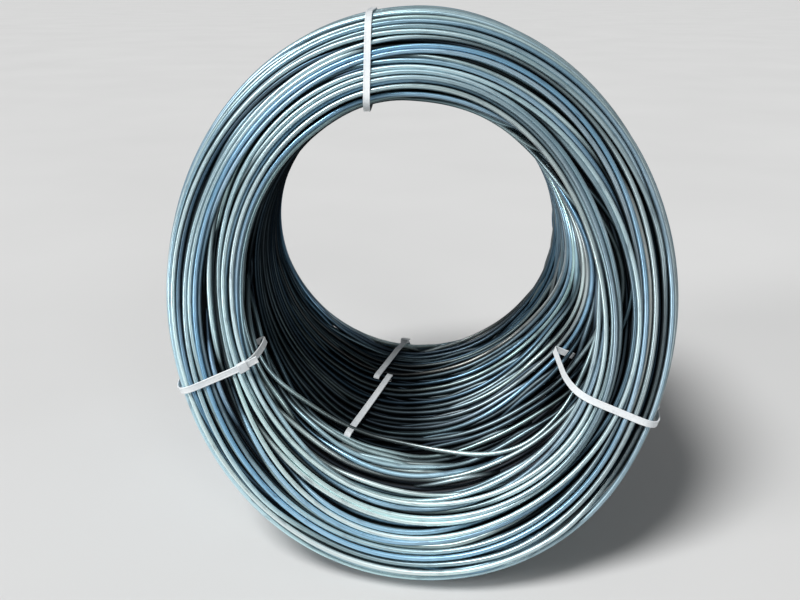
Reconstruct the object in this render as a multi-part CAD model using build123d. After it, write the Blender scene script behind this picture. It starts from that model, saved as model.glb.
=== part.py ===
"""Loose coil of heating wire that stands on its rim, with the cable ties that hold its turns.

Millimetres. +Z is up, the coil's axis is level and runs along Y, -Y is the front end, and the
origin is on the floor under the middle of the coil. Clock angles are in degrees about the axis,
from 0 at the top, clockwise as seen from the front.

The winding is turned ring by ring: one tube for every two layers of turns. The turns lie close
together at the top and fan out towards the floor, so the front end leans back and the foot is the
longest place. The right side is shifted a little further forward than the left. Each ring ends
where the rounded end of the bundle puts it, and every other ring ends half a wire short, so the
turns show as rings on both ends.

A cable tie is a closed band that grips some of the turns. Where it isn't in sight it runs through
the winding in a tunnel of its own shape, and where it lies on the turns they have a seat for it.
"""
from build123d import *
from math import cos, radians, sin
import os

# Wire and winding
wire_d = 5.3
layer_gap = 0.4               # air between one layer of turns and the next
bore_r = 181.0
layers = 18
ring_layers = 2               # layers of turns in one ring of the turned winding
top_length = 187.0            # along the axis, where the turns are tied close together
foot_length = 475.0           # along the axis, on the floor, where they fan out
side_shift = 25.0             # how much further forward the right side is than the middle
front_roundness = 6.0         # exponent of the rounded oblong that is the bundle's section
back_roundness = 4.2

# Cable ties
strap_width = 7.6
strap_thick = 1.5
strap_clear = 0.3             # between a strap and the turns round it
strap_bend = 8.0              # radius of a strap at its corners
strap_bite = 0.8              # how far a strap is pulled into the outermost turns
seat_spare = 0.6              # how much deeper than the strap its seat is
head_length = 11.0
head_width = 10.5
head_height = 6.5
slot_clear = 0.25             # between the tail and the slot of the head
slot_depth = 2.0
tail_rise = 1.0               # between the strap and the tail above it, inside the head
tail_length = 12.0            # what was left on when the tail was snipped

# Sizes that follow
rings = layers // ring_layers
ring_pitch = ring_layers * (wire_d + layer_gap)
build_up = rings * ring_pitch
coil_r = bore_r + build_up
axis_z = coil_r
mean_r = bore_r + build_up / 2
ring_relief = wire_d / 2      # how far every other ring ends short
seat_depth = strap_thick + 2 * strap_clear
FRONT, BACK = -1, 1


def crown(radius, side):
    """How much of its half length the bundle keeps at a radius, from 0 to 1."""
    roundness = front_roundness if side == FRONT else back_roundness
    offset = abs(radius - mean_r) / (build_up / 2)
    return (1 - min(1.0, offset) ** roundness) ** (1 / roundness)


def end_y(radius, x, height, side):
    """Y where the bundle ends at a radius, beside the axis by x and at a height above the floor."""
    length = foot_length + (top_length - foot_length) * height / (2 * coil_r)
    return -side_shift * x / coil_r - length / 2 + side * length / 2 * crown(radius, side)


def end_cutter(radius, relief, side):
    """Everything beyond one end of the ring at a radius, behind its flat and leaning face."""
    middle = end_y(radius, 0, axis_z, side)
    sideways = (end_y(radius, coil_r, axis_z, side) - middle) / coil_r
    upwards = (end_y(radius, 0, axis_z + coil_r, side) - middle) / coil_r
    face = Plane(origin=(0, middle - side * relief, axis_z), x_dir=(1, sideways, 0),
                 z_dir=(-side * sideways, side, -side * upwards))
    return extrude(face * Rectangle(8 * coil_r, 8 * coil_r), amount=3 * foot_length)


def ring_of_turns(number):
    """One ring: a tube about the level axis, ended by two leaning faces."""
    inner = bore_r + number * ring_pitch
    middle = inner + ring_pitch / 2
    relief = ring_relief * (number % 2)
    ring = Circle(inner + ring_pitch) - Circle(inner)
    tube = extrude(Plane.XZ.offset(-foot_length) * ring, amount=3 * foot_length)
    tube = Pos(0, 0, axis_z) * tube
    return tube - end_cutter(middle, relief, FRONT) - end_cutter(middle, relief, BACK)


def rim_point(clock, radius, y=0.0):
    """A point at a clock angle and a distance from the axis."""
    angle = radians(clock)
    return Vector(radius * sin(angle), y, axis_z + radius * cos(angle))


def end_points(plane, reach, side):
    """The line of the bundle's end in the plane of a tie, from the outside inwards."""
    edge = (build_up - ring_pitch) / build_up
    points = []
    for share in (edge, 0.75, 0, -0.75, -edge):
        across = reach * (1 + share) / 2
        spot = plane.from_local_coords((across, 0, 0))
        y = end_y(mean_r + share * build_up / 2, spot.X, spot.Z, side)
        points.append((across, (y - plane.origin.Y) / plane.y_dir.Y))
    points[0] = (reach - strap_bite, points[0][1])
    points[-1] = (seat_depth, points[-1][1])
    return points


def tie_across_the_end(inner_clock, outer_clock, grip):
    """Plane and outline of a tie round the front of the bundle, or round all of it if grip is None."""
    inner, outer = rim_point(inner_clock, bore_r), rim_point(outer_clock, coil_r)
    outward = (outer - inner).normalized()
    plane = Plane(origin=inner, x_dir=outward, z_dir=outward.cross(Vector(0, 1, 0)))
    front = end_points(plane, (outer - inner).length, FRONT)
    if grip is None:
        return plane, front + end_points(plane, (outer - inner).length, BACK)[::-1]
    (first_u, first_y), (last_u, last_y) = front[0], front[-1]
    return plane, [(first_u, first_y + grip)] + front + [(last_u, last_y + grip)]


def floor_plane(clock, y, slant):
    """Plane of a tie round the innermost turns, at a clock angle and a y, turned by a slant."""
    origin = rim_point(clock, bore_r, y)
    outward = (origin - Vector(0, y, axis_z)).normalized()
    along = Vector(0, 1, 0).rotate(Axis((0, 0, 0), outward), slant)
    return Plane(origin=origin, x_dir=outward, z_dir=outward.cross(along))


def mid_floor_tie(clock, y, slant, depth, half_span):
    """Plane and outline of a tie that comes up through the floor of the bore and goes down again."""
    plane = floor_plane(clock, y, slant)
    return plane, [(depth, -half_span), (seat_depth, -half_span), (seat_depth, half_span), (depth, half_span)]


def back_floor_tie(clock, y, slant, depth, start):
    """Plane and outline of a tie that runs along the floor of the bore and over its back edge."""
    plane = floor_plane(clock, y, slant)
    back = end_points(plane, build_up, BACK)[:1:-1]
    return plane, [(depth, start), (seat_depth, start)] + back


def band(outline, inside, outside, width):
    """A flat band that follows an outline, between two distances outside it."""
    loop = make_face(FilletPolyline(*outline, radius=strap_bend, close=True))
    ring = offset(loop, amount=outside, kind=Kind.ARC)
    if inside > 0:
        loop = offset(loop, amount=inside, kind=Kind.ARC)
    return extrude(ring - loop, amount=width / 2, both=True)


def block(plane, start, end, low, high, width):
    """A box on a strap: start and end along it, low and high above the turns."""
    size = Box(end - start, high - low, width)
    return plane.location * Pos((start + end) / 2, (low + high) / 2, 0) * size


def head_plane(outline, corner, share):
    """A plane on the outline, with x along the strap and y away from the turns."""
    start, end = Vector(*outline[corner]), Vector(*outline[(corner + 1) % len(outline)])
    return Plane(origin=start + (end - start) * share, x_dir=end - start, z_dir=(0, 0, 1))


def cable_tie(plane, outline, corner, share):
    """One tie and the space that it needs: band, head, slot and what is left of its tail."""
    spot = head_plane(outline, corner, share)
    half = head_length / 2
    tail_low = strap_clear + strap_thick + tail_rise
    tail_high = tail_low + strap_thick
    slot = block(spot, half - slot_depth, half + slot_depth, tail_low - slot_clear,
                 tail_high + slot_clear, strap_width + 2 * slot_clear)
    head = block(spot, -half, half, strap_clear, strap_clear + head_height, head_width) - slot
    tail = block(spot, 0, half + tail_length, tail_low, tail_high, strap_width)
    strap = band(outline, strap_clear, strap_clear + strap_thick, strap_width)
    room = band(outline, 0, seat_depth + seat_spare, strap_width + 2 * strap_clear)
    room += block(spot, -half - strap_clear, half + strap_clear, 0,
                  2 * strap_clear + head_height, head_width + 2 * strap_clear)
    room += block(spot, 0, half + tail_length + strap_clear, tail_low - strap_clear,
                  tail_high + strap_clear, strap_width + 2 * strap_clear)
    return plane.location * (strap + head + tail), plane.location * room


# Where the ties are: plane and outline, then the corner and the share along that run of the head
ties = {
    "tie_top": (*tie_across_the_end(342.6, 349.2, None), 7, 0.5),
    "tie_left": (*tie_across_the_end(247.5, 247.5, 40.0), 3, 0.82),
    "tie_right": (*tie_across_the_end(118.0, 114.5, 90.0), 0, 0.5),
    "tie_floor_front": (*mid_floor_tie(196.9, -0.513 * foot_length, 14, 40.0, 94.0), 3, 0.5),
    "tie_floor_back": (*back_floor_tie(190.5, -0.226 * foot_length, 15, 40.0, -62.0), 2, 0.5),
}

if __name__ == "__main__":
    os.makedirs("parts", exist_ok=True)
    pieces, rooms = {}, []
    for name, place in ties.items():
        pieces[name], room = cable_tie(*place)
        rooms.append(room)
    turns = [ring_of_turns(number).cut(*rooms) for number in range(rings)]
    pieces["wire_coil"] = turns[0].fuse(*turns[1:])
    boxes = [piece.bounding_box() for piece in pieces.values()]
    middle_y = (min(box.min.Y for box in boxes) + max(box.max.Y for box in boxes)) / 2
    for name, piece in pieces.items():
        export_step(Pos(0, -middle_y, 0) * piece, f"parts/{name}.step")
    print("the pieces moved back by", round(middle_y, 3), "along y")
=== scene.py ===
"""The looks of a loose coil of heating wire that stands on its rim, held by five cable ties.

Metres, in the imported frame: +Z is up, the coil's axis is level along Y, the front end is at -Y, and
the origin is on the floor under the coil's middle. A clock angle is 0 at the top and grows clockwise
as seen from the front. Round the bundle's section, an angle is 0 at the rim, a quarter turn at the
back end, a half turn at the bore and three quarters at the front end.
"""
import logging
import math
from dataclasses import dataclass
from enum import Enum

import bpy
import numpy as np
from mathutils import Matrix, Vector


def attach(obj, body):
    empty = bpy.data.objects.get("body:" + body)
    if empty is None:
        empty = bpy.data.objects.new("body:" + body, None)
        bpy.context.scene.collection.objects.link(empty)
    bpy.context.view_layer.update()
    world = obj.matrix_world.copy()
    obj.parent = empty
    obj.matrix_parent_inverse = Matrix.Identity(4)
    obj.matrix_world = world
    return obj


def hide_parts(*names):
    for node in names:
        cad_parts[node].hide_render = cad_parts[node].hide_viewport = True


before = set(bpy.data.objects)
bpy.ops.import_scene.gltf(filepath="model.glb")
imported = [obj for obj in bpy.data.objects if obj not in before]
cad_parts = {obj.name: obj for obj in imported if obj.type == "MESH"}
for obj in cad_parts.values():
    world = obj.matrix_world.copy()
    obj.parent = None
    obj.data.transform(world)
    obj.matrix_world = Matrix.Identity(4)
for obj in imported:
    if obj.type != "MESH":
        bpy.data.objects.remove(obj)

LOG = logging.getLogger("coil")
TURN = 2 * math.pi

Colour = tuple[float, float, float]
Window = tuple[float, float]


class Slot(Enum):
    """The record's material slots."""

    WIRE = "wire"
    TIE = "tie"


class Face(Enum):
    """The four sides of the bundle's section."""

    RIM = "rim"
    BACK = "back"
    BORE = "bore"
    FRONT = "front"


class Tone(Enum):
    """The colours of the wire's oxide, each with its share of the wire."""

    PALE = ((0.62, 0.84, 0.88), 2.1)
    BLUE = ((0.20, 0.44, 0.66), 1.2)
    SLATE = ((0.24, 0.40, 0.48), 0.8)
    GREEN = ((0.28, 0.42, 0.39), 0.32)
    STRAW = ((0.54, 0.53, 0.47), 0.24)
    INK = ((0.02, 0.08, 0.18), 0.8)


# Meshes and materials

def ramp(value: np.ndarray, start: float | np.ndarray, width: float) -> np.ndarray:
    """Rises from nothing at the start to one, over a width."""
    return np.clip((value - start) / width, 0, 1)


def mesh_piece(name: str, points: np.ndarray, quads: np.ndarray) -> bpy.types.Object:
    """Makes a smooth mesh object of four-sided faces and links it to the scene.

    Args:
        name: The piece's name.
        points: The vertices, one row each.
        quads: The four vertex numbers of each face, one row each.

    Returns:
        The object.
    """
    mesh = bpy.data.meshes.new(name)
    mesh.vertices.add(len(points))
    mesh.vertices.foreach_set("co", np.ascontiguousarray(points, dtype=np.float32).ravel())
    mesh.loops.add(4 * len(quads))
    mesh.loops.foreach_set("vertex_index", np.ascontiguousarray(quads, dtype=np.int32).ravel())
    mesh.polygons.add(len(quads))
    mesh.polygons.foreach_set("loop_start", np.arange(0, 4 * len(quads), 4, dtype=np.int32))
    mesh.polygons.foreach_set("use_smooth", np.full(len(quads), True))
    mesh.update(calc_edges=True)
    mesh.validate()
    piece = bpy.data.objects.new(name, mesh)
    bpy.context.scene.collection.objects.link(piece)
    return piece


class Surface:
    """One material's node tree, with short calls to grow it."""

    def __init__(self, name: str) -> None:
        """Starts a material with its shader and output.

        Args:
            name: The material's name.
        """
        self.material = bpy.data.materials.new(name)
        self.material.use_nodes = True
        self.nodes = self.material.node_tree.nodes
        self.links = self.material.node_tree.links
        self.shader = self.nodes["Principled BSDF"]

    def node(self, kind: str, **values: object) -> bpy.types.Node:
        """Adds a node.

        Args:
            kind: The node's type, without the words in front of it.
            **values: Its properties.

        Returns:
            The node.
        """
        made = self.nodes.new("ShaderNode" + kind)
        for key, value in values.items():
            setattr(made, key, value)
        return made

    def join(self, source: bpy.types.NodeSocket, target: bpy.types.NodeSocket) -> None:
        """Links an output to an input."""
        self.links.new(source, target)

    def noise(self, place: bpy.types.NodeSocket, scale: float, detail: float = 3.0,
              stretch: tuple[float, float, float] = (1.0, 1.0, 1.0)) -> bpy.types.NodeSocket:
        """Adds a noise.

        Args:
            place: Where the noise is read.
            scale: Its scale.
            detail: Its detail.
            stretch: How much finer it is along each axis.

        Returns:
            Its grey output.
        """
        mapping = self.node("Mapping")
        mapping.inputs["Scale"].default_value = stretch
        self.join(place, mapping.inputs["Vector"])
        texture = self.node("TexNoise")
        texture.inputs["Scale"].default_value = scale
        texture.inputs["Detail"].default_value = detail
        self.join(mapping.outputs["Vector"], texture.inputs["Vector"])
        return texture.outputs["Fac"]

    def between(self, value: bpy.types.NodeSocket, low: float, high: float,
                floor: float = 0.3, top: float = 0.7) -> bpy.types.NodeSocket:
        """Stretches a value to a range.

        Args:
            value: The value.
            low: What it gives at the floor.
            high: What it gives at the top.
            floor: The value's own low end.
            top: The value's own high end.

        Returns:
            The stretched value.
        """
        ranged = self.node("MapRange")
        for socket, number in (("From Min", floor), ("From Max", top), ("To Min", low), ("To Max", high)):
            ranged.inputs[socket].default_value = number
        self.join(value, ranged.inputs["Value"])
        return ranged.outputs["Result"]

    def blend(self, first: bpy.types.NodeSocket | Colour, second: bpy.types.NodeSocket | Colour,
              share: bpy.types.NodeSocket) -> bpy.types.NodeSocket:
        """Mixes two colours.

        Args:
            first: A socket or a colour.
            second: A socket or a colour.
            share: How much of the second.

        Returns:
            The mixed colour.
        """
        mixer = self.node("Mix", data_type="RGBA")
        for socket, value in ((mixer.inputs[6], first), (mixer.inputs[7], second)):
            if isinstance(value, bpy.types.NodeSocket):
                self.join(value, socket)
            else:
                socket.default_value = (*value, 1.0)
        self.join(share, mixer.inputs[0])
        return mixer.outputs[2]

    def bump(self, height: bpy.types.NodeSocket, strength: float, distance: float) -> None:
        """Adds relief.

        Args:
            height: The relief.
            strength: How strong it is.
            distance: How high it is, in metres.
        """
        made = self.node("Bump")
        made.inputs["Strength"].default_value = strength
        made.inputs["Distance"].default_value = distance
        self.join(height, made.inputs["Height"])
        self.join(made.outputs["Normal"], self.shader.inputs["Normal"])


@dataclass(frozen=True)
class DrawnWire:
    """Drawn and oxidised resistance wire: a silky blue-grey metal with fine lines from the die."""

    roughness: float = 0.27
    metallic: float = 0.55
    reflection: float = 0.75
    line_height: float = 0.00003
    rubbed: Colour = (0.74, 0.84, 0.88)
    mark: Colour = (0.07, 0.10, 0.15)
    # Painted shade: the next five fields are the colour, gloss tint, metallic and roughness where the wire
    # is painted dark, and the gloss tint where it is not.
    shade_colour: Colour = (0.004, 0.006, 0.009)
    unshaded_gloss: Colour = (1.0, 1.0, 1.0)
    shade_gloss: Colour = (0.10, 0.11, 0.13)
    shade_metallic: float = 0.98
    shade_roughness: float = 0.14

    def material(self) -> bpy.types.Material:
        """Makes the material, whose base colour is the piece's own tint, taken towards near black by the
        piece's painted shade.

        Returns:
            The material.
        """
        surface = Surface("drawn_wire")
        shader = surface.shader.inputs
        tint = surface.node("Attribute", attribute_name="tint").outputs["Color"]
        place = surface.node("Attribute", attribute_name="place").outputs["Vector"]
        patches = surface.noise(place, 1.0, 3.0, (7.0, 7.0, 0.9))
        worn = surface.blend(tint, self.rubbed, surface.between(patches, 0.0, 0.28, 0.42, 0.70))
        marks = surface.between(surface.noise(place, 1.0, 5.0, (55.0, 55.0, 2.0)), 0.0, 0.55, 0.56, 0.74)
        marked = surface.blend(worn, self.mark, marks)
        # The painted shade of the bore and of buried turns takes the colour and the gloss tint towards
        # black, and sets metallic and roughness.
        painted_shade = surface.node("Attribute", attribute_name="painted_shade").outputs["Fac"]
        surface.join(surface.blend(marked, self.shade_colour, painted_shade), shader["Base Color"])
        metallic = surface.between(painted_shade, self.metallic, self.shade_metallic, 0.0, 1.0)
        surface.join(metallic, shader["Metallic"])
        shader["Specular IOR Level"].default_value = self.reflection
        surface.join(surface.blend(self.unshaded_gloss, self.shade_gloss, painted_shade), shader["Specular Tint"])
        dull = surface.node("Math", operation="ADD")
        surface.join(surface.between(patches, self.roughness - 0.05, self.roughness + 0.12), dull.inputs[0])
        surface.join(surface.between(painted_shade, 0.0, self.shade_roughness, 0.0, 1.0), dull.inputs[1])
        surface.join(dull.outputs["Value"], shader["Roughness"])
        lines = surface.noise(place, 1.0, 2.0, (3.0, 3.0, 22.0))
        surface.bump(lines, 0.10, self.line_height)
        return surface.material


@dataclass(frozen=True)
class DeepWire:
    """The turns that lie deep in the bundle, painted near black as shade, where hardly any light comes.

    The band is how long one wave of the wave texture is, so that one wave becomes one strand.
    """

    pitch: float = 0.0053
    band: float = 0.314
    # Painted shade: the near-black colours of the buried strands and of the gaps between them.
    gap: Colour = (0.004, 0.005, 0.007)
    strand: Colour = (0.035, 0.045, 0.06)
    metallic: float = 0.6
    roughness: float = 0.5
    relief: float = 0.0015

    def material(self) -> bpy.types.Material:
        """Makes the material.

        Returns:
            The material.
        """
        surface = Surface("deep_wire")
        shader = surface.shader.inputs
        run = surface.node("UVMap", uv_map="run")
        lines = surface.node("TexWave", wave_type="BANDS", bands_direction="Y")
        lines.inputs["Scale"].default_value = 1.0
        lines.inputs["Distortion"].default_value = 2.5
        mapping = surface.node("Mapping")
        mapping.inputs["Scale"].default_value = (0.4, self.band / self.pitch, 1.0)
        surface.join(run.outputs["UV"], mapping.inputs["Vector"])
        surface.join(mapping.outputs["Vector"], lines.inputs["Vector"])
        strands = surface.between(lines.outputs["Fac"], 0.0, 1.0, 0.45, 1.0)
        surface.join(surface.blend(self.gap, self.strand, strands), shader["Base Color"])
        shader["Metallic"].default_value = self.metallic
        shader["Roughness"].default_value = self.roughness
        surface.bump(lines.outputs["Fac"], 0.8, self.relief)
        return surface.material


@dataclass(frozen=True)
class Nylon:
    """Moulded natural nylon, a little translucent."""

    colour: Colour = (0.80, 0.83, 0.84)
    cloudy: Colour = (0.70, 0.74, 0.77)
    dusty: Colour = (0.45, 0.47, 0.48)
    roughness: float = 0.36
    translucence: float = 0.15
    light_depth: Colour = (0.004, 0.004, 0.004)
    relief: float = 0.0002

    def material(self) -> bpy.types.Material:
        """Makes the material.

        Returns:
            The material.
        """
        surface = Surface("natural_nylon")
        shader = surface.shader.inputs
        place = surface.node("TexCoord").outputs["Object"]
        cloud = surface.between(surface.noise(place, 60.0), 0.0, 1.0)
        dust = surface.between(surface.noise(place, 420.0, 4.0), 0.0, 0.35, 0.5, 0.75)
        clouded = surface.blend(self.colour, self.cloudy, cloud)
        surface.join(surface.blend(clouded, self.dusty, dust), shader["Base Color"])
        shader["Roughness"].default_value = self.roughness
        shader["Subsurface Weight"].default_value = self.translucence
        shader["Subsurface Radius"].default_value = self.light_depth
        shader["Subsurface Scale"].default_value = 1.0
        surface.bump(surface.noise(place, 900.0), 0.15, self.relief)
        return surface.material


@dataclass(frozen=True)
class PaleFloor:
    """A plain pale floor."""

    colour: Colour = (0.66, 0.66, 0.655)
    patch: Colour = (0.63, 0.63, 0.625)
    roughness: float = 0.85

    def material(self) -> bpy.types.Material:
        """Makes the material.

        Returns:
            The material.
        """
        surface = Surface("pale_floor")
        place = surface.node("TexCoord").outputs["Object"]
        cloud = surface.between(surface.noise(place, 1.5), 0.0, 1.0)
        surface.join(surface.blend(self.colour, self.patch, cloud), surface.shader.inputs["Base Color"])
        surface.shader.inputs["Roughness"].default_value = self.roughness
        return surface.material


# The bundle of turns

@dataclass(frozen=True)
class Bundle:
    """The shape that the turns are tied into: compact at the top, and fanned out on the floor."""

    wire_d: float = 0.0053
    bore_r: float = 0.181
    coil_r: float = 0.2836
    axis_z: float = 0.2836
    back_y: float = 0.221717
    top_length: float = 0.187
    foot_length: float = 0.475
    side_shift: float = 0.025
    front_roundness: float = 6.0
    back_roundness: float = 4.2

    @property
    def half(self) -> float:
        """Half the bundle's build-up."""
        return (self.coil_r - self.bore_r) / 2

    @property
    def mean_r(self) -> float:
        """The radius midway between bore and rim."""
        return (self.coil_r + self.bore_r) / 2

    def ends(self, x: np.ndarray, z: np.ndarray) -> tuple[np.ndarray, np.ndarray]:
        """Middle and half length of the bundle along the axis, beside it by x and at a height.

        Args:
            x: How far beside the axis.
            z: The height over the floor.

        Returns:
            The y of the middle, and half the length.
        """
        length = self.foot_length + (self.top_length - self.foot_length) * z / (2 * self.coil_r)
        return self.back_y - self.side_shift * x / self.coil_r - length / 2, length / 2

    def shares(self, angle: np.ndarray) -> tuple[np.ndarray, np.ndarray]:
        """Where a section angle meets the rounded oblong.

        Args:
            angle: Angles round the section.

        Returns:
            The shares of the half build-up and of the half length.
        """
        across, along = np.cos(angle), np.sin(angle)
        power = np.where(along < 0, self.front_roundness, self.back_roundness)
        size = (np.abs(across) ** power + np.abs(along) ** power) ** (1 / power)
        return across / size, along / size

    def in_space(self, clock: np.ndarray, radius: np.ndarray, y: np.ndarray) -> np.ndarray:
        """The places in the frame of points given by clock angle, radius and y."""
        return np.stack([radius * np.sin(clock), y, self.axis_z + radius * np.cos(clock)], axis=-1)

    def spot(self, clock: np.ndarray, angle: np.ndarray,
             depth: np.ndarray) -> tuple[np.ndarray, np.ndarray]:
        """Radius and y of points under the bundle's surface.

        Args:
            clock: Clock angles.
            angle: Angles round the section.
            depth: How far under the surface.

        Returns:
            The radii and the y values.
        """
        across, along = self.shares(angle)
        radius = self.mean_r + across * (self.half - depth)
        middle, half = self.ends(radius * np.sin(clock), self.axis_z + radius * np.cos(clock))
        return radius, middle + along * (half - depth)

    def arcs(self, clocks: np.ndarray, steps: int = 900) -> tuple[np.ndarray, np.ndarray]:
        """How far it is round the section, at each clock angle.

        Args:
            clocks: Clock angles.
            steps: How many steps the way round has.

        Returns:
            The section angles, and the distance up to each of them, one row for each clock angle.
        """
        angles = np.linspace(0, TURN, steps + 1)
        radius, y = self.spot(clocks[:, None], angles[None, :], np.zeros((1, 1)))
        legs = np.hypot(np.diff(radius, axis=1), np.diff(y, axis=1))
        return angles, np.concatenate([np.zeros((len(clocks), 1)), np.cumsum(legs, axis=1)], axis=1)


@dataclass(frozen=True)
class Layer:
    """Turns laid side by side on one face of the bundle, a few at a time.

    The drifts are how far the turns wander along the section, at the top and at the foot. Each pull is
    how far it moves them along it, the clock angle where it does, and how wide it is. In the bore a
    pull below nothing goes towards the front. The reach is the share of the face that they lie on, from
    end to end. Fewest and most say how many wander together. The lift is how far they stand off. The
    last field says how much of the bore's painted shade the turns are spared, and how much painted
    light they get there, so that they stay bright in the bore.
    """

    face: Face
    count: int
    top_drift: float = 0.003
    foot_drift: float = 0.007
    pulls: tuple[tuple[float, float, float], ...] = ()
    reach: tuple[float, float] = (-1.0, 1.0)
    fewest: int = 4
    most: int = 12
    lift: float = 0.0
    clean: float = 0.0


LAYERS = (
    Layer(Face.FRONT, 19, 0.004, 0.007, fewest=2, most=4),
    Layer(Face.BORE, 1, 0.0, 0.0, ((-0.056, 142, 26), (-0.062, 84, 34), (-0.045, 248, 26)),
          (-0.56, -0.56), 1, 1, 0.0056, 0.5),
    Layer(Face.BORE, 17, 0.004, 0.007, ((-0.072, 86, 32), (-0.012, 200, 40)), (-0.80, 0.40), 1, 3,
          clean=1.0),
    Layer(Face.RIM, 80, 0.003, 0.004, fewest=3, most=9),
    Layer(Face.BORE, 60, 0.004, 0.009, ((-0.032, 88, 30),), fewest=2, most=7),
    Layer(Face.BACK, 16, 0.004, 0.008, fewest=2, most=6),
    Layer(Face.FRONT, 18, 0.003, 0.005, fewest=2, most=5),
    Layer(Face.BORE, 54, 0.005, 0.012, ((-0.020, 88, 30),)),
    Layer(Face.RIM, 66, 0.005, 0.008),
    Layer(Face.BACK, 16, 0.005, 0.010),
    Layer(Face.FRONT, 17, 0.004, 0.006),
    Layer(Face.BORE, 46, 0.005, 0.013),
    Layer(Face.RIM, 44, 0.005, 0.010),
    Layer(Face.BACK, 12, 0.006, 0.012),
    Layer(Face.FRONT, 15, 0.004, 0.006),
)


@dataclass
class Turns:
    """The turns that show: closed loops that cross over and under each other.

    A window is the clock angle of its middle and its width, both in degrees. A depth is that of a
    turn's middle under the bundle's surface. The turns get painted shade from a depth of their outer
    side on, and the front of the foot keeps painted light down to another one.
    """

    bundle: Bundle
    stations: int = 160
    sides: int = 8
    seed: int = 23
    start_jitter: float = 0.14
    own_drift: float = 0.0007
    rise: float = 0.0009
    air: float = 0.0002
    deepest: float = 0.034
    hidden: float = 0.0185
    floor_clear: float = 0.00003
    floor_window: Window = (180, 14)
    front_slide: float = 0.023
    front_window: Window = (118, 38)
    loose_window: Window = (196, 30)
    right_hollow: float = 0.017
    right_hollow_window: Window = (112, 32)
    left_hollow: float = 0.007
    left_hollow_window: Window = (292, 26)
    # A random share of the turns are spared only part of the bore's painted shade and get less painted
    # light there.
    dimmed_share: float = 0.25
    dimmed_lit_share: float = 0.3
    # The fields from here to the brightest set painted light and shade: the painted shade in the bore and
    # on buried turns, the painted light at the front of the foot, and the painted light and shade that the
    # tints are multiplied by.
    bore_edge: float = 0.86
    bore_fade: float = 0.12
    darkest: float = 0.94
    dark_from: float = 0.0016
    dark_fade: float = 0.0062
    foot_lit: float = 0.35
    foot_lit_window: Window = (166, 30)
    lit_down_to: float = 0.0125
    lit_fade: float = 0.004
    plain_light: float = 1.04
    foot_light: float = 0.24
    left_dim: float = 0.32
    lit_share_light: float = 0.30
    right_dim: float = 0.32
    corner_dim: float = 0.16
    corner_window: Window = (128, 28)
    brightest: float = 0.9
    piece_limit: int = 190000

    def __post_init__(self) -> None:
        """Draws where each turn starts, lays all of them, and gives them their colours."""
        self.random = np.random.default_rng(self.seed)
        self.clocks = np.arange(self.stations) * TURN / self.stations
        self.right = np.clip(np.sin(self.clocks), 0, 1)
        self.plan()
        self.lay()
        self.inside = ramp(-self.bundle.shares(self.angle)[0], self.bore_edge, self.bore_fade)
        self.painted_shade = self.painted_shades()
        self.tint = self.tints()

    def waves(self, count: int, top: int, fall: float) -> np.ndarray:
        """Smooth chance round the loop.

        Args:
            count: How many rows.
            top: How many waves the finest has round the loop.
            fall: How fast the finer ones get weaker.

        Returns:
            Rows with a spread of one, one value for each station.
        """
        number = np.arange(1, top + 1)[None, :, None]
        size = self.random.normal(0, 1, (count, top, 1)) / number ** fall
        start = self.random.uniform(0, TURN, (count, top, 1))
        rows = (size * np.cos(number * self.clocks + start)).sum(1)
        return rows / rows.std(axis=1, keepdims=True)

    def starting(self, layer: Layer) -> tuple[np.ndarray, np.ndarray]:
        """Spaces a layer's turns along its face.

        Args:
            layer: The layer.

        Returns:
            Where each lies on the face, from -1 to 1, and its section angle.
        """
        jitter = self.random.uniform(-self.start_jitter, self.start_jitter, layer.count)
        share = (np.arange(layer.count) + 0.5 + jitter) / layer.count
        share = layer.reach[0] + (layer.reach[1] - layer.reach[0]) * share
        tilt = np.arctan(share)
        return share, {Face.RIM: tilt, Face.BACK: math.pi / 2 - tilt, Face.BORE: math.pi - tilt,
                       Face.FRONT: 1.5 * math.pi + tilt}[layer.face]

    def plan(self) -> None:
        """Shares the turns out on the faces, and gives each its wander and its place in the order.

        Every third turn of a group is laid at the same time, so that neighbours cross. The front turns
        wander less near the rim, and slide towards it on the right flank.
        """
        starts, drifts, faces, orders, warps, lifts, clean = [], [], [], [], [], [], []
        low = ((1 - np.cos(self.clocks)) / 2) ** 1.2
        for rank, layer in enumerate(LAYERS):
            share, start = self.starting(layer)
            starts.append(start)
            laid = 0
            while laid < layer.count:
                size = min(int(self.random.integers(layer.fewest, layer.most + 1)), layer.count - laid)
                drift = layer.top_drift + (layer.foot_drift - layer.top_drift) * low
                group = self.waves(1, 3, 0.7) * drift
                own = self.waves(size, 4, 0.5) * self.own_drift
                if layer.face is Face.FRONT:
                    inward = (1 - share[laid:laid + size, None]) / 2
                    slide = self.front_slide * inward ** 1.2 * self.about(self.front_window)
                    group = group * (0.35 + 0.65 * np.sqrt(inward)) + slide
                for amount, *window in layer.pulls:
                    group = group + amount * self.random.uniform(0.8, 1.15) * self.about(window)
                drifts.append(group + own)
                orders.append(rank * 10 + self.random.permutation(3)[(np.arange(size) + laid) % 3]
                              + self.random.uniform(0, 0.9) + np.arange(size) * 1e-3)
                warps.append(np.repeat(np.abs(self.waves(1, 3, 1.0)), size, axis=0) * self.rise)
                laid += size
            faces += [layer.face.value] * layer.count
            lifts += [layer.lift] * layer.count
            clean += [layer.clean] * layer.count
        # A random share of the turns are spared only part of the bore's painted shade and get less painted
        # light.
        odds = [1 - self.dimmed_share, self.dimmed_share]
        dimmed = self.random.choice([1.0, self.dimmed_lit_share], len(clean), p=odds)
        self.clean = (np.array(clean) * dimmed)[:, None]
        self.starts, self.drifts = np.concatenate(starts) % TURN, np.concatenate(drifts)
        self.faces, self.order = np.array(faces), np.concatenate(orders)
        self.in_bore = (self.faces == Face.BORE.value)[:, None]
        self.shallow = self.bundle.wire_d / 2 + self.air + np.concatenate(warps)
        self.lift = np.array(lifts)[:, None] * self.about(self.loose_window)

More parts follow.
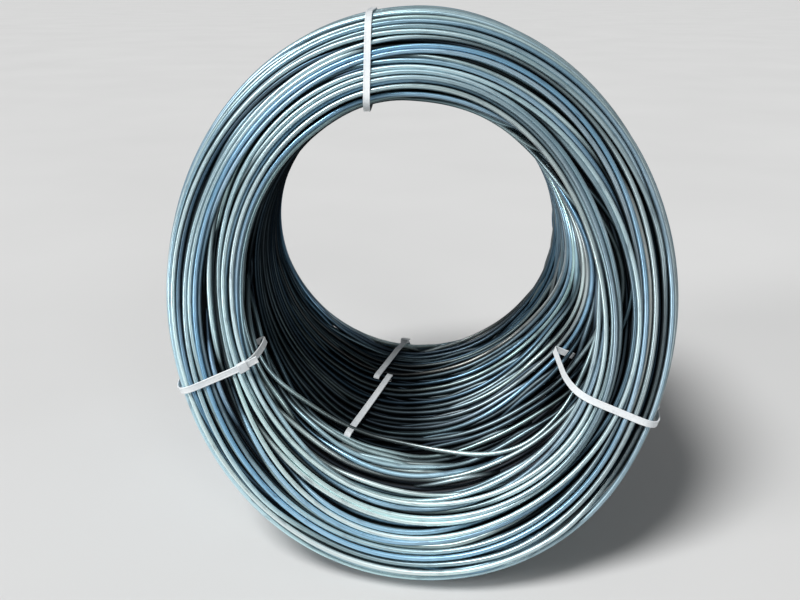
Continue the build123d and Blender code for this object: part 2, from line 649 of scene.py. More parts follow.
    def lay(self) -> None:
        """Puts every turn in its place, the first ones on the surface and the next under them."""
        angles, arcs = self.bundle.arcs(self.clocks)
        around = arcs[:, -1]
        along = np.stack([np.interp(self.starts, angles, row) for row in arcs], axis=1)
        along = (along + np.where(self.in_bore, -1, 1) * self.drifts) % around
        angle = np.stack([np.interp(spots, row, angles) for spots, row in zip(along.T, arcs)], axis=1)
        self.tuck = self.tucked(angle)
        shallow = self.shallow + self.tuck + Tie.pinch_all(self.bundle, self.clocks, angle)
        depth = np.zeros_like(along)
        placed: list[int] = []
        for turn in np.argsort(self.order):
            need = shallow[turn].copy()
            if placed:
                gap = np.abs(along[placed] - along[turn])
                gap = np.minimum(gap, around - gap)
                under = depth[placed] + np.sqrt(np.clip(self.bundle.wire_d ** 2 - gap ** 2, 0, None))
                need = np.maximum(need, np.where(gap < self.bundle.wire_d, under, 0).max(axis=0))
            depth[turn] = self.eased(np.minimum(need, self.deepest))
            placed.append(int(turn))
        depth -= self.lift
        lowest = self.stations // 2
        rim = self.faces == Face.RIM.value
        spare = depth[rim, lowest].min() - self.bundle.wire_d / 2 - self.floor_clear
        depth[rim] -= spare * self.about(self.floor_window)
        self.radius, self.y = self.bundle.spot(self.clocks[None, :], angle, depth)
        self.depth, self.angle = depth, angle

    def tucked(self, angle: np.ndarray) -> np.ndarray:
        """How much deeper the turns in the bore lie where the front ones stand off from them.

        Args:
            angle: The section angle of each turn at each station.

        Returns:
            The extra depth of each turn at each station.
        """
        across, along = self.bundle.shares(angle)
        near_front = ramp(-along, 0.25, 0.5) * ramp(-across, 0.6, 0.3)
        hollow = (self.right_hollow * self.about(self.right_hollow_window)
                  + self.left_hollow * self.about(self.left_hollow_window))
        return np.where(self.in_bore, hollow * near_front, 0.0)

    def about(self, window: Window | list[float]) -> np.ndarray:
        """A soft window round the loop: one at a clock angle, and nothing far from it.

        Args:
            window: The clock angle and how wide it is, in degrees.

        Returns:
            One value for each station.
        """
        middle, spread = window
        return np.exp(-(((np.degrees(self.clocks) - middle + 180) % 360 - 180) / spread) ** 2)

    def eased(self, need: np.ndarray) -> np.ndarray:
        """Smooths a depth round the loop, so that it is nowhere less than what is needed.

        Args:
            need: The least depth at each station.

        Returns:
            The depth at each station.
        """
        kernel = np.array([1.0, 3.0, 5.0, 7.0, 8.0, 7.0, 5.0, 3.0, 1.0]) / 40
        shifts = range(-4, 5)
        wide = np.max([np.roll(need, shift) for shift in shifts], axis=0)
        return sum(weight * np.roll(wide, shift) for weight, shift in zip(kernel, shifts))

    def painted_shades(self) -> np.ndarray:
        """How much painted shade darkens each turn: inside the bore, and where others bury it.

        The right side of the bore and the front of the foot get less of it, as painted light.

        Returns:
            A share for each turn at each station.
        """
        _, along = self.bundle.shares(self.angle)
        foot = np.clip(-np.cos(self.clocks), 0, 1) ** 0.5
        # Painted shade inside the bore, with less of it on the right side and at the front of the foot.
        shade = self.inside * (1 - self.right * (0.60 + 0.40 * self.clean))
        shade = shade * (1 - foot * ramp(-along, 0.56, 0.16))
        # Painted shade on turns buried under others, with painted light left at the front of the foot.
        deep = self.depth - self.tuck - self.bundle.wire_d / 2
        lit = self.foot_lit * self.about(self.foot_lit_window) * ramp(-along, 0.3, 0.4)
        lit = lit * ramp(-deep, -self.lit_down_to, self.lit_fade)
        buried = ramp(deep, self.dark_from, self.dark_fade) * (1 - lit)
        return 1 - (1 - self.darkest * shade) * (1 - self.darkest * buried)

    def tints(self) -> np.ndarray:
        """The colour of each turn, which changes slowly from one mix of the oxide's tones to another.

        It also carries painted light and shade: paler and brighter at the foot and on the lit turns of the
        bore, darker on the left flank, on the right flank and towards the lower right.

        Returns:
            Red, green and blue for each turn at each station.
        """
        count, right, clean = len(self.faces), self.right, self.clean
        top = np.clip(np.cos(self.clocks), 0, 1)
        left = np.clip(-np.sin(self.clocks), 0, 1)
        foot = np.clip(0.08 - np.cos(self.clocks), 0, 1)
        turn = (1 + np.cos(self.clocks + self.random.uniform(0, TURN, (count, 1)))) / 2
        first, second = (self.random.exponential(1.0, (count, 1, len(Tone))) ** 2 for _ in range(2))
        weight = first * turn[..., None] + second * (1 - turn[..., None])
        weight = weight * np.array([tone.value[1] for tone in Tone])
        # Painted light: more of the pale tone at the foot and on the lit turns of the bore. Bluer on the
        # left flank and on the bore's right side, greener on top, more straw on the right.
        more = {Tone.PALE: 1 + 2.2 * foot * (1 - right) + 2.0 * right * clean,
                Tone.BLUE: 1 + 1.5 * left + 1.2 * right * self.in_bore,
                Tone.GREEN: 1 + 3 * top,
                Tone.STRAW: 1 + 3 * right}
        for number, tone in enumerate(Tone):
            weight[:, :, number] *= more.get(tone, 1)
        weight /= weight.sum(axis=2, keepdims=True)
        colour = weight @ np.array([tone.value[0] for tone in Tone])
        # The light factor is painted light and shade: brighter at the foot and on the lit turns of the
        # bore, darker on the left flank, the right flank and towards the lower right.
        light = self.plain_light + self.foot_light * foot * (1 - right)
        light = light - self.left_dim * left * np.clip(1 - 2 * foot, 0, 1)
        light = light + self.lit_share_light * right * clean
        flank = self.right_dim * right * (1 - 0.8 * self.inside)
        light = light - (flank + self.corner_dim * self.about(self.corner_window)) * (1 - clean)
        return np.minimum(colour * light[:, :, None], self.brightest)

    def pieces(self, face: Face, material: bpy.types.Material) -> list[bpy.types.Object]:
        """Makes the turns of one face, in as many pieces as their triangles need.

        Args:
            face: Which face.
            material: What they are made of.

        Returns:
            The objects.
        """
        chosen = np.flatnonzero(self.faces == face.value)
        depth = self.depth[chosen] - self.tuck[chosen]
        shown = (depth < self.hidden) | (np.roll(depth, -1, axis=1) < self.hidden)
        faces_each = shown.sum(axis=1) * self.sides * 2
        parts = int(np.ceil(faces_each.sum() / self.piece_limit))
        made = []
        for number in range(parts):
            rows = np.arange(number, len(chosen), parts)
            name = f"turns_{face.value}" + (f"_{number + 1}" if parts > 1 else "")
            made.append(self.piece(name, chosen[rows], shown[rows], material))
        return made

    def piece(self, name: str, chosen: np.ndarray, shown: np.ndarray,
              material: bpy.types.Material) -> bpy.types.Object:
        """Makes some of the turns, closed off where they go too deep to be seen.

        Args:
            name: The piece's name.
            chosen: The numbers of its turns.
            shown: Whether each turn shows at each station.
            material: What they are made of.

        Returns:
            The object.
        """
        turn = TURN * np.arange(self.sides) / self.sides
        radius = self.radius[chosen][:, :, None] + self.bundle.wire_d / 2 * np.cos(turn)
        y = self.y[chosen][:, :, None] + self.bundle.wire_d / 2 * np.sin(turn)
        points = self.bundle.in_space(self.clocks[None, :, None], radius, y)
        number = np.arange(points[..., 0].size).reshape(points.shape[:3])
        ahead, beside = np.roll(number, -1, axis=1), np.roll(number, -1, axis=2)
        quads = np.stack([number, beside, np.roll(ahead, -1, axis=2), ahead], axis=-1)[shown]
        cap = np.array([[-rung % self.sides, rung + 1, rung + 2, self.sides - rung - 1]
                        for rung in range(self.sides // 2 - 1)])
        first = number[shown & ~np.roll(shown, 1, axis=1)][:, cap[:, ::-1]]
        last = ahead[shown & ~np.roll(shown, -1, axis=1)][:, cap]
        quads = np.concatenate([part.reshape(-1, 4) for part in (quads, first, last)])
        used, quads = np.unique(quads, return_inverse=True)
        made = mesh_piece(name, points.reshape(-1, 3)[used], quads.reshape(-1, 4))
        self.dress(made, chosen, points, used)
        made.data.materials.append(material)
        return made

    def dress(self, made: bpy.types.Object, chosen: np.ndarray, points: np.ndarray,
              used: np.ndarray) -> None:
        """Stores what the wire's finish reads: the tint with its painted light and shade, the painted
        shade, and where its marks lie.

        Args:
            made: The piece.
            chosen: The numbers of its turns.
            points: Where its vertices are, by turn, station and side.
            used: The numbers of the vertices that it has.
        """
        tint = np.repeat(self.tint[chosen][:, :, None, :], self.sides, axis=2).reshape(-1, 3)[used]
        tint = np.concatenate([tint, np.ones((len(tint), 1))], axis=1)
        painted_shade = np.repeat(self.painted_shade[chosen][:, :, None], self.sides, axis=2).reshape(-1)[used]
        offset = self.random.uniform(0, 50, (len(chosen), 1, 1, 3))
        round_wire = np.broadcast_to(np.cos(TURN * np.arange(self.sides) / self.sides), points.shape[:3])
        place = np.stack([points[..., 0], points[..., 2], 0.5 * round_wire], axis=-1) + offset
        place = place.reshape(-1, 3)[used]
        made.data.color_attributes.new("tint", "FLOAT_COLOR", "POINT")
        made.data.attributes.new("painted_shade", "FLOAT", "POINT")
        made.data.attributes.new("place", "FLOAT_VECTOR", "POINT")
        stored = {"tint": ("color", tint), "painted_shade": ("value", painted_shade), "place": ("vector", place)}
        for name, (key, values) in stored.items():
            made.data.attributes[name].data.foreach_set(key, values.astype(np.float32).ravel())


@dataclass
class Core:
    """The turns deep in the bundle, as one body painted dark as shade, under the ones that show.

    It is hollowed on the lower right, where the front turns stand off from those of the bore. The run
    and the way are how far its finish reckons round the coil and round the section.
    """

    bundle: Bundle
    depth: float = 0.017
    hollow: float = 0.014
    hollow_window: Window = (114, 36)
    run_radius: float = 0.28
    way_length: float = 0.9
    clock_steps: int = 96
    section_steps: int = 96

    def piece(self, material: bpy.types.Material) -> bpy.types.Object:
        """Makes the body.

        Args:
            material: What it is made of.

        Returns:
            The object.
        """
        clock = (np.arange(self.clock_steps) * TURN / self.clock_steps)[:, None]
        angle = (np.arange(self.section_steps) * TURN / self.section_steps)[None, :]
        across, along = self.bundle.shares(angle)
        corner = ramp(-along, 0.1, 0.5) * ramp(-across, 0.1, 0.6)
        middle, spread = (math.radians(part) for part in self.hollow_window)
        depth = self.depth + self.hollow * np.exp(-((clock - middle) / spread) ** 2) * corner
        points = self.bundle.in_space(clock, *self.bundle.spot(clock, angle, depth))
        number = np.arange(clock.size * angle.size).reshape(clock.size, angle.size)
        beside, ahead = np.roll(number, -1, axis=1), np.roll(number, -1, axis=0)
        quads = np.stack([number, beside, np.roll(ahead, -1, axis=1), ahead], axis=-1).reshape(-1, 4)
        made = mesh_piece("turns_deep", points.reshape(-1, 3), quads)
        run = np.arange(self.clock_steps)[:, None, None] + np.array([0, 0, 1, 1])
        way = np.arange(self.section_steps)[None, :, None] + np.array([0, 1, 1, 0])
        lengths = (run * TURN * self.run_radius / self.clock_steps,
                   way * self.way_length / self.section_steps)
        uv = np.stack(np.broadcast_arrays(*lengths), axis=-1)
        made.data.uv_layers.new(name="run").data.foreach_set("uv", uv.astype(np.float32).ravel())
        made.data.materials.append(material)
        return made


# Cable ties

STRAP_BEVEL = 0.00035
STRAP_RAIL = 0.0013
STRAP_SINK = 0.00016
EDGE_SHARE = 8 / 9
ALONG_AXIS = np.array([0.0, 1.0, 0.0])


def strip(path: np.ndarray, normals: np.ndarray, width: float, thick: float,
          closed: bool) -> tuple[np.ndarray, np.ndarray]:
    """Makes a strap along a path, with rounded edges and a low rail along each edge of its outside.

    Args:
        path: The strap's middle line.
        normals: The way out of its flat side, at each point.
        width: Its width.
        thick: Its thickness.
        closed: Whether it is a closed band.

    Returns:
        Its points and its faces.
    """
    ways = np.roll(path, -1, axis=0) - np.roll(path, 1, axis=0)
    if not closed:
        ways[0], ways[-1] = path[1] - path[0], path[-1] - path[-2]
    side = np.cross(normals, ways)
    side /= np.linalg.norm(side, axis=1, keepdims=True)
    w, t, bevel, rail, sink = width / 2, thick / 2, STRAP_BEVEL, STRAP_RAIL, STRAP_SINK
    profile = np.array([[-w, -t + bevel], [-w + bevel, -t], [w - bevel, -t], [w, -t + bevel],
                        [w, t - bevel], [w - bevel, t], [w - rail, t], [w - rail - sink, t - sink],
                        [-w + rail + sink, t - sink], [-w + rail, t], [-w + bevel, t], [-w, t - bevel]])
    points = (path[:, None, :] + profile[None, :, :1] * side[:, None, :]
              + profile[None, :, 1:] * normals[:, None, :])
    number = np.arange(points[..., 0].size).reshape(points.shape[:2])
    ahead = np.roll(number, -1, axis=0)
    quads = np.stack([number, ahead, np.roll(ahead, -1, axis=1), np.roll(number, -1, axis=1)], axis=-1)
    quads = (quads if closed else quads[:-1]).reshape(-1, 4)
    if not closed:
        caps = [[row[i] for i in corners] for row in (number[0], number[-1][::-1])
                for corners in ((0, 1, 2, 3), (0, 3, 4, 11), (11, 4, 5, 10), (10, 5, 6, 9), (9, 6, 7, 8))]
        quads = np.concatenate([quads, np.array(caps)])
    return points.reshape(-1, 3), quads


def loop(width: float, low: float, high: float, bevel: float) -> np.ndarray:
    """The corners of a bevelled oblong, across and up.

    Args:
        width: Its width.
        low: Its low side.
        high: Its high side.
        bevel: The size of its bevels.

    Returns:
        Eight corners.
    """
    w, b = width / 2, bevel
    return np.array([[-w, low + b], [-w + b, low], [w - b, low], [w, low + b],
                     [w, high - b], [w - b, high], [-w + b, high], [-w, high - b]])


@dataclass(frozen=True)
class Tie:
    """One nylon cable tie: a band round some of the turns, its head, and the tail that was left on it.

    Its head sits between a corner of the outline and the next one, at a share of the way. The head is
    given by its length, width and height. The pinches are how much deeper the turns lie under the tie,
    in the bore, on the rim and at the ends.
    """

    name: str
    inner_clock: float
    corner: int
    share: float
    width: float = 0.0076
    thick: float = 0.0015
    clear: float = 0.0003
    seat: float = 0.0021
    bite: float = 0.0008
    head: tuple[float, float, float] = (0.0110, 0.0105, 0.0065)
    head_bevel: float = 0.0008
    head_round: float = 0.0006
    slot_clear: float = 0.00025
    slot_bevel: float = 0.0002
    tail_start: float = -0.001
    tail_rise: float = 0.001
    tail_length: float = 0.012
    tail_curl: float = 0.0006
    step: float = 0.002
    sharp: float = 32.0
    bore_pinch: float = 0.0027
    rim_pinch: float = 0.0014
    end_pinch: float = 0.0006
    pinch_width: float = 0.013

    def point(self, bundle: Bundle, clock: float, radius: float) -> np.ndarray:
        """A point in the plane across the axis."""
        angle = math.radians(clock)
        return np.array([radius * math.sin(angle), 0.0, bundle.axis_z + radius * math.cos(angle)])

    def plane(self, bundle: Bundle) -> tuple[np.ndarray, np.ndarray, np.ndarray, float]:
        """Where its plane is: a point of it, the ways out and along, and how far out the rim is."""
        raise NotImplementedError

    def corners(self, bundle: Bundle) -> np.ndarray:
        """The corners of its outline, out and along."""
        raise NotImplementedError

    def outline(self, bundle: Bundle) -> np.ndarray:
        """Its smooth outline, out and along."""
        raise NotImplementedError

    def line(self, bundle: Bundle, radius: np.ndarray, y: np.ndarray,
             clocks: np.ndarray) -> tuple[np.ndarray, np.ndarray]:
        """At which clock angle the tie crosses each place, and how surely it shows there."""
        raise NotImplementedError

    def end(self, bundle: Bundle, across: np.ndarray, side: int) -> np.ndarray:
        """The line of the bundle's end in the plane of the tie.

        Args:
            bundle: The shape of the bundle.
            across: Shares of the half build-up.
            side: -1 for the front and 1 for the back.

        Returns:
            Points, out and along.
        """
        origin, outward, along, reach = self.plane(bundle)
        out = reach * (1 + across) / 2
        power = bundle.front_roundness if side < 0 else bundle.back_roundness
        middle, half = bundle.ends(origin[0] + out * outward[0], origin[2] + out * outward[2])
        y = middle + side * half * (1 - np.minimum(1, np.abs(across)) ** power) ** (1 / power)
        out = np.clip(out, self.seat, reach - self.bite)
        return np.stack([out, (y - origin[1]) / along[1]], axis=-1)

    def smooth(self, outline: np.ndarray) -> tuple[np.ndarray, np.ndarray]:
        """Spaces the points of an outline evenly and rounds it off.

        Args:
            outline: The outline's points, out and along.

        Returns:
            The new points, and the ways out of the outline there.
        """
        closed = np.concatenate([outline, outline[:1]])
        legs = np.concatenate([[0.0], np.cumsum(np.linalg.norm(np.diff(closed, axis=0), axis=1))])
        count = int(legs[-1] / self.step)
        spots = np.linspace(0, legs[-1], count, endpoint=False)
        even = np.stack([np.interp(spots, legs, closed[:, k]) for k in (0, 1)], axis=-1)
        shifts = range(-4, 5)
        kernel = np.exp(-0.5 * (np.array(shifts) / 1.3) ** 2)
        kernel = kernel / kernel.sum()
        even = sum(weight * np.roll(even, shift, axis=0) for weight, shift in zip(kernel, shifts))
        ways = np.roll(even, -1, axis=0) - np.roll(even, 1, axis=0)
        ways /= np.linalg.norm(ways, axis=1, keepdims=True)
        return even, np.stack([-ways[:, 1], ways[:, 0]], axis=-1)

    def lift(self, bundle: Bundle, flat: np.ndarray, ways: np.ndarray) -> tuple[np.ndarray, np.ndarray]:
        """Takes points of the tie's plane into space.

        Args:
            bundle: The shape of the bundle.
            flat: The points, out and along.
            ways: The ways out of the outline there.

        Returns:
            The points and the ways in space.
        """
        origin, outward, along, _ = self.plane(bundle)
        points = origin + flat[:, :1] * outward + flat[:, 1:] * along
        return points, ways[:, :1] * outward + ways[:, 1:] * along

    def head_parts(self, bundle: Bundle, even: np.ndarray,
                   ways: np.ndarray) -> list[tuple[np.ndarray, np.ndarray]]:
        """Makes the head and the tail.

        Args:
            bundle: The shape of the bundle.
            even: The points of the outline.
            ways: The ways out of it.

        Returns:
            Points and faces of the head, and of the tail.
        """
        corners = self.corners(bundle)
        after = corners[(self.corner + 1) % len(corners)]
        target = corners[self.corner] + (after - corners[self.corner]) * self.share
        place = int(np.argmin(np.linalg.norm(even - target, axis=1)))
        spot, out = even[place:place + 1], ways[place:place + 1]
        base, up = (row[0] for row in self.lift(bundle, spot, out))
        _, onward = self.lift(bundle, spot, np.stack([out[:, 1], -out[:, 0]], axis=-1))
        onward = onward[0]
        side = np.cross(up, onward)
        length, width, height = self.head
        low, high = self.clear, self.clear + height
        tail_low = self.clear + self.thick + self.tail_rise
        shell = loop(width, low, high, self.head_bevel)
        slot = loop(self.width + 2 * self.slot_clear, tail_low - self.slot_clear,
                    tail_low + self.thick + self.slot_clear, self.slot_bevel)
        middle, inset = np.array([0.0, (low + high) / 2]), self.head_round
        small = middle + (shell - middle) * (1 - 2 * inset / np.array([width, height]))
        sections = ((small, -length / 2), (shell, -length / 2 + inset), (shell, length / 2 - inset),
                    (small, length / 2), (slot, length / 2), (slot, -length / 2))
        rows = [base + at * onward + shape[:, :1] * side + shape[:, 1:] * up for shape, at in sections]
        number = np.arange(len(sections) * len(shell)).reshape(len(sections), len(shell))
        ahead = np.roll(number, -1, axis=0)
        faces = np.stack([number, np.roll(number, -1, axis=1), np.roll(ahead, -1, axis=1), ahead], axis=-1)
        reach = np.linspace(self.tail_start, length / 2 + self.tail_length, 10)
        curl = self.tail_curl * ramp(reach, length / 2, self.tail_length) ** 2
        tail = base + reach[:, None] * onward + (tail_low + self.thick / 2 + curl)[:, None] * up
        return [(np.concatenate(rows), faces.reshape(-1, 4)),
                strip(tail, np.repeat(up[None, :], len(tail), axis=0), self.width, self.thick, False)]

    def piece(self, bundle: Bundle, material: bpy.types.Material) -> bpy.types.Object:
        """Makes the tie.

        Args:
            bundle: The shape of the bundle.
            material: What it is made of.

        Returns:
            The object.
        """
        even, ways = self.smooth(self.outline(bundle))
        path, normals = self.lift(bundle, even + ways * (self.clear + self.thick / 2), ways)
        parts = [strip(path, normals, self.width, self.thick, True)] + self.head_parts(bundle, even, ways)
        offsets = np.cumsum([0] + [len(points) for points, _ in parts])
        made = mesh_piece(self.name + "_nylon", np.concatenate([points for points, _ in parts]),
                          np.concatenate([faces + offset for (_, faces), offset in zip(parts, offsets)]))
        made.data.set_sharp_from_angle(angle=math.radians(self.sharp))
        made.data.materials.append(material)
        return made

    def pinch(self, bundle: Bundle, clocks: np.ndarray, across: np.ndarray, radius: np.ndarray,
              y: np.ndarray) -> np.ndarray:
        """How much deeper the turns lie under this tie.

        Args:
            bundle: The shape of the bundle.
            clocks: The clock angle of each station.
            across: The share of the half build-up of each turn at each station.
            radius: Their radii.
            y: Their y values.

        Returns:
            The extra depth of each turn at each station.
        """
        clock, shown = self.line(bundle, radius, y, clocks)
        outside = np.where(across > 0.80, self.rim_pinch, self.end_pinch)
        amount = np.where(across < -0.80, self.bore_pinch, outside)
        away = np.radians((np.degrees(clocks)[None, :] - clock + 180) % 360 - 180) * radius
        return amount * shown * np.exp(-(away / self.pinch_width) ** 4)

    @staticmethod
    def pinch_all(bundle: Bundle, clocks: np.ndarray, angle: np.ndarray) -> np.ndarray:
        """How much deeper each turn lies where a tie crosses it.

        Args:
            bundle: The shape of the bundle.
            clocks: The clock angle of each station.
            angle: The section angle of each turn at each station.

        Returns:
            The extra depth of each turn at each station.
        """
        across, _ = bundle.shares(angle)
        radius, y = bundle.spot(clocks[None, :], angle, np.zeros((1, 1)))
        return np.max([tie.pinch(bundle, clocks, across, radius, y) for tie in TIES], axis=0)


@dataclass(frozen=True)
class EndTie(Tie):
    """A tie across an end of the bundle: round all of it, or only as deep as the grip.

    It still presses on turns that lie past the grip by less than the margin.
    """

    outer_clock: float = 0.0
    grip: float | None = None
    margin: float = 0.016
    fade: float = 0.008

    def plane(self, bundle: Bundle) -> tuple[np.ndarray, np.ndarray, np.ndarray, float]:
        """Where its plane is.

        Args:
            bundle: The shape of the bundle.

        Returns:
            A point of it at the bore, the ways out and along, and how far out the rim is.
        """
        inner = self.point(bundle, self.inner_clock, bundle.bore_r)
        leg = self.point(bundle, self.outer_clock, bundle.coil_r) - inner
        reach = float(np.linalg.norm(leg))
        return inner, leg / reach, ALONG_AXIS, reach

    def corners(self, bundle: Bundle) -> np.ndarray:
        """The corners of its outline.

        Args:
            bundle: The shape of the bundle.

        Returns:
            Points, out and along.
        """
        spots = np.array([EDGE_SHARE, 0.75, 0.0, -0.75, -EDGE_SHARE])
        front = self.end(bundle, spots, -1)
        reach = self.plane(bundle)[3]
        front[0, 0], front[-1, 0] = reach - self.bite, self.seat
        if self.grip is None:
            back = self.end(bundle, spots, 1)[::-1]
            return np.concatenate([front, back])
        gripped = np.array([[0.0, self.grip]])
        return np.concatenate([front[:1] + gripped, front, front[-1:] + gripped])

    def outline(self, bundle: Bundle) -> np.ndarray:
        """Its outline, which follows the end of the bundle.

        Args:
            bundle: The shape of the bundle.

        Returns:
            Points, out and along.
        """
        across = np.sin(np.linspace(math.pi / 2, -math.pi / 2, 240))
        front = self.end(bundle, across, -1)
        if self.grip is None:
            return np.concatenate([front, self.end(bundle, across, 1)[::-1]])
        corners = self.corners(bundle)
        shown = front[:, 1] < np.where(across > 0, corners[0, 1], corners[-1, 1])
        return np.concatenate([corners[:1], front[shown], corners[-1:]])

    def line(self, bundle: Bundle, radius: np.ndarray, y: np.ndarray,
             clocks: np.ndarray) -> tuple[np.ndarray, np.ndarray]:
        """Where the tie crosses the turns.

        Args:
            bundle: The shape of the bundle.
            radius: The radius of each turn at each station.
            y: Their y values.
            clocks: The clock angle of each station.

        Returns:
            The clock angle at which it crosses each place, and how surely it shows there.
        """
        share = (radius - bundle.bore_r) / (2 * bundle.half)
        clock = self.inner_clock + (self.outer_clock - self.inner_clock) * share
        if self.grip is None:
            return clock, np.ones_like(y)
        middle, half = bundle.ends(radius * np.sin(clocks), bundle.axis_z + radius * np.cos(clocks))
        return clock, ramp(self.grip + self.margin - (y - middle + half), 0.0, self.fade)


@dataclass(frozen=True)
class FloorTie(Tie):
    """A tie round the innermost turns on the floor of the bore, turned by a slant in degrees.

    Its span is where it goes down among the turns, and deep is how far down it passes under them. One
    over the back goes round the turns' back end in place of the span's second value.
    """

    middle_y: float = 0.0
    slant: float = 0.0
    span: tuple[float, float] = (-0.09, 0.09)
    over_back: bool = False
    deep: float = 0.040
    fade: float = 0.006

    def plane(self, bundle: Bundle) -> tuple[np.ndarray, np.ndarray, np.ndarray, float]:
        """Where its plane is.

        Args:
            bundle: The shape of the bundle.

        Returns:
            A point of it at the bore, the ways out and along, and how far out the rim is.
        """
        origin = self.point(bundle, self.inner_clock, bundle.bore_r)
        outward = (origin - [0, 0, bundle.axis_z]) / bundle.bore_r
        origin[1] = self.middle_y
        slant = math.radians(self.slant)
        across = np.array([-outward[2], 0.0, outward[0]])
        return origin, outward, math.cos(slant) * ALONG_AXIS + math.sin(slant) * across, 2 * bundle.half

    def corners(self, bundle: Bundle) -> np.ndarray:
        """The corners of its outline.

        Args:
            bundle: The shape of the bundle.

        Returns:
            Points, out and along.
        """
        first = [[self.deep, self.span[0]], [self.seat, self.span[0]]]
        if self.over_back:
            last = self.end(bundle, np.array([-EDGE_SHARE, -0.75, 0.0]), 1)
            last[0, 0] = self.seat
            return np.concatenate([first, last])
        return np.array(first + [[self.seat, self.span[1]], [self.deep, self.span[1]]])

    def outline(self, bundle: Bundle) -> np.ndarray:
        """Its outline, which follows the floor of the bore and the back end.

        Args:
            bundle: The shape of the bundle.

        Returns:
            Points, out and along.
        """
        if not self.over_back:
            return self.corners(bundle)
        back = self.end(bundle, np.sin(np.linspace(-math.pi / 2, 0.0, 120)), 1)
        return np.concatenate([self.corners(bundle)[:2], back[back[:, 1] > self.span[0]]])

    def lift(self, bundle: Bundle, flat: np.ndarray, ways: np.ndarray) -> tuple[np.ndarray, np.ndarray]:
        """Takes points of the tie's plane into space, bent along the floor of the bore.

        Args:
            bundle: The shape of the bundle.
            flat: The points, out and along.
            ways: The ways out of the outline there.

        Returns:
            The points and the ways in space.
        """
        points, _ = super().lift(bundle, flat, ways)
        _, _, along, _ = self.plane(bundle)
        clock = np.arctan2(points[:, 0], points[:, 2] - bundle.axis_z)
        out = np.stack([np.sin(clock), np.zeros_like(clock), np.cos(clock)], axis=-1)
        radius = bundle.bore_r + flat[:, :1]
        bent = radius * out + points * [0, 1, 0] + [0, 0, bundle.axis_z]
        normals = ways[:, :1] * out + ways[:, 1:] * along
        return bent, normals / np.linalg.norm(normals, axis=1, keepdims=True)

    def line(self, bundle: Bundle, radius: np.ndarray, y: np.ndarray,
             clocks: np.ndarray) -> tuple[np.ndarray, np.ndarray]:
        """Where the tie crosses the turns of the bore.

        Args:
            bundle: The shape of the bundle.
            radius: The radius of each turn at each station.
            y: Their y values.
            clocks: The clock angle of each station.

        Returns:
            The clock angle at which it crosses each place, and how surely it shows there.
        """
        away = y - self.middle_y
        slant = math.radians(self.slant)
        clock = self.inner_clock - np.degrees(away * math.tan(slant) / bundle.bore_r)
        low = self.span[0] * math.cos(slant) - self.fade
        high = math.inf if self.over_back else self.span[1] * math.cos(slant) + self.fade
        inner = radius < bundle.mean_r
        return clock, ramp(away, low, self.fade) * ramp(-away, -high, self.fade) * inner


TIES: tuple[Tie, ...] = (
    EndTie("tie_top", 342.6, 7, 0.5, outer_clock=349.2),
    EndTie("tie_left", 247.5, 3, 0.82, outer_clock=247.5, grip=0.040),
    EndTie("tie_right", 118.0, 0, 0.5, outer_clock=114.5, grip=0.090),
    FloorTie("tie_floor_front", 196.9, 3, 0.5, middle_y=-0.021958, slant=14, span=(-0.094, 0.094)),
    FloorTie("tie_floor_back", 190.5, 2, 0.5, middle_y=0.114367, slant=15, span=(-0.062, 0.0),
             over_back=True),
)


# Studio

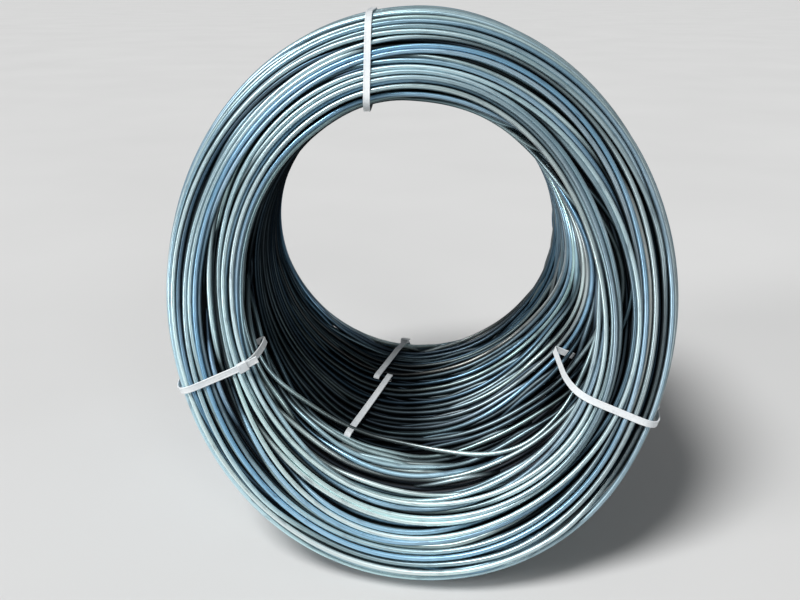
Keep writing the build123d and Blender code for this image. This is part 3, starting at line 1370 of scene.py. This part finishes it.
@dataclass
class Studio:
    """Floor, light and camera. The pitch and the turn are in radians, the lens in millimetres."""

    eye: tuple[float, float, float] = (-0.002, -0.9529, 0.5941)
    pitch: float = 0.360
    turn: float = 0.016
    lens: float = 38.13
    sensor: float = 36.0
    floor_size: float = 60.0
    floor_drop: float = 0.00002
    room_colour: tuple[float, float, float, float] = (0.93, 0.96, 1.0, 1.0)
    room_strength: float = 0.11

    def floor(self) -> None:
        """Lays the floor, a hair under the coil."""
        half, z = self.floor_size / 2, -self.floor_drop
        corners = np.array([[-half, -half, z], [half, -half, z], [half, half, z], [-half, half, z]])
        ground = mesh_piece("floor", corners, np.array([[0, 1, 2, 3]]))
        ground.data.materials.append(PaleFloor().material())

    def sun(self, name: str, toward: tuple[float, float, float], strength: float, spread: float) -> None:
        """Adds a soft far lamp.

        Args:
            name: Its name.
            toward: The way that its light goes.
            strength: How strong it is.
            spread: How wide it is, in degrees.
        """
        lamp = bpy.data.lights.new(name, "SUN")
        lamp.energy, lamp.angle = strength, math.radians(spread)
        made = bpy.data.objects.new(name, lamp)
        made.rotation_euler = Vector(toward).to_track_quat("-Z", "Y").to_euler()
        bpy.context.scene.collection.objects.link(made)

    def light(self) -> None:
        """Lights the object from the left, the right and all round."""
        self.sun("key", (0.40, 0.32, -0.86), 3.0, 22)
        self.sun("side", (0.84, 0.42, -0.34), 1.0, 16)
        self.sun("fill", (-0.38, 0.82, -0.42), 0.55, 24)
        world = bpy.data.worlds.new("room")
        world.use_nodes = True
        room = world.node_tree.nodes["Background"]
        room.inputs["Color"].default_value = self.room_colour
        room.inputs["Strength"].default_value = self.room_strength
        bpy.context.scene.world = world

    def camera(self) -> None:
        """Sets the camera at the photograph's place."""
        eye = bpy.data.cameras.new("camera")
        eye.lens, eye.sensor_width = self.lens, self.sensor
        eye.clip_start, eye.clip_end = 0.01, 200.0
        made = bpy.data.objects.new("camera", eye)
        made.location = self.eye
        made.rotation_euler = (math.pi / 2 - self.pitch, 0.0, self.turn)
        bpy.context.scene.collection.objects.link(made)
        bpy.context.scene.camera = made

    def build(self) -> None:
        """Sets up all of it."""
        self.floor()
        self.light()
        self.camera()
        bpy.context.scene.view_settings.view_transform = "Standard"


def report(piece: bpy.types.Object) -> None:
    """Logs a piece and how many triangles it has."""
    triangles = sum(len(face.vertices) - 2 for face in piece.data.polygons)
    LOG.info("%s: %d triangles", piece.name, triangles)


def main() -> None:
    """Builds the looks piece by piece."""
    logging.basicConfig(level=logging.INFO, format="%(name)s: %(message)s")
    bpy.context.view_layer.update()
    Studio().build()
    bundle = Bundle()
    turns = Turns(bundle)
    metal = DrawnWire().material()
    for face in Face:
        for made in turns.pieces(face, metal):
            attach(made, "root")
            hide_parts("wire_coil")
            report(made)
    deep = Core(bundle).piece(DeepWire().material())
    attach(deep, "root")
    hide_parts("wire_coil")
    report(deep)
    nylon = Nylon().material()
    for tie in TIES:
        made = tie.piece(bundle, nylon)
        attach(made, "root")
        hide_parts(tie.name)
        report(made)
    bpy.context.view_layer.update()


if __name__ == "__main__":
    main()
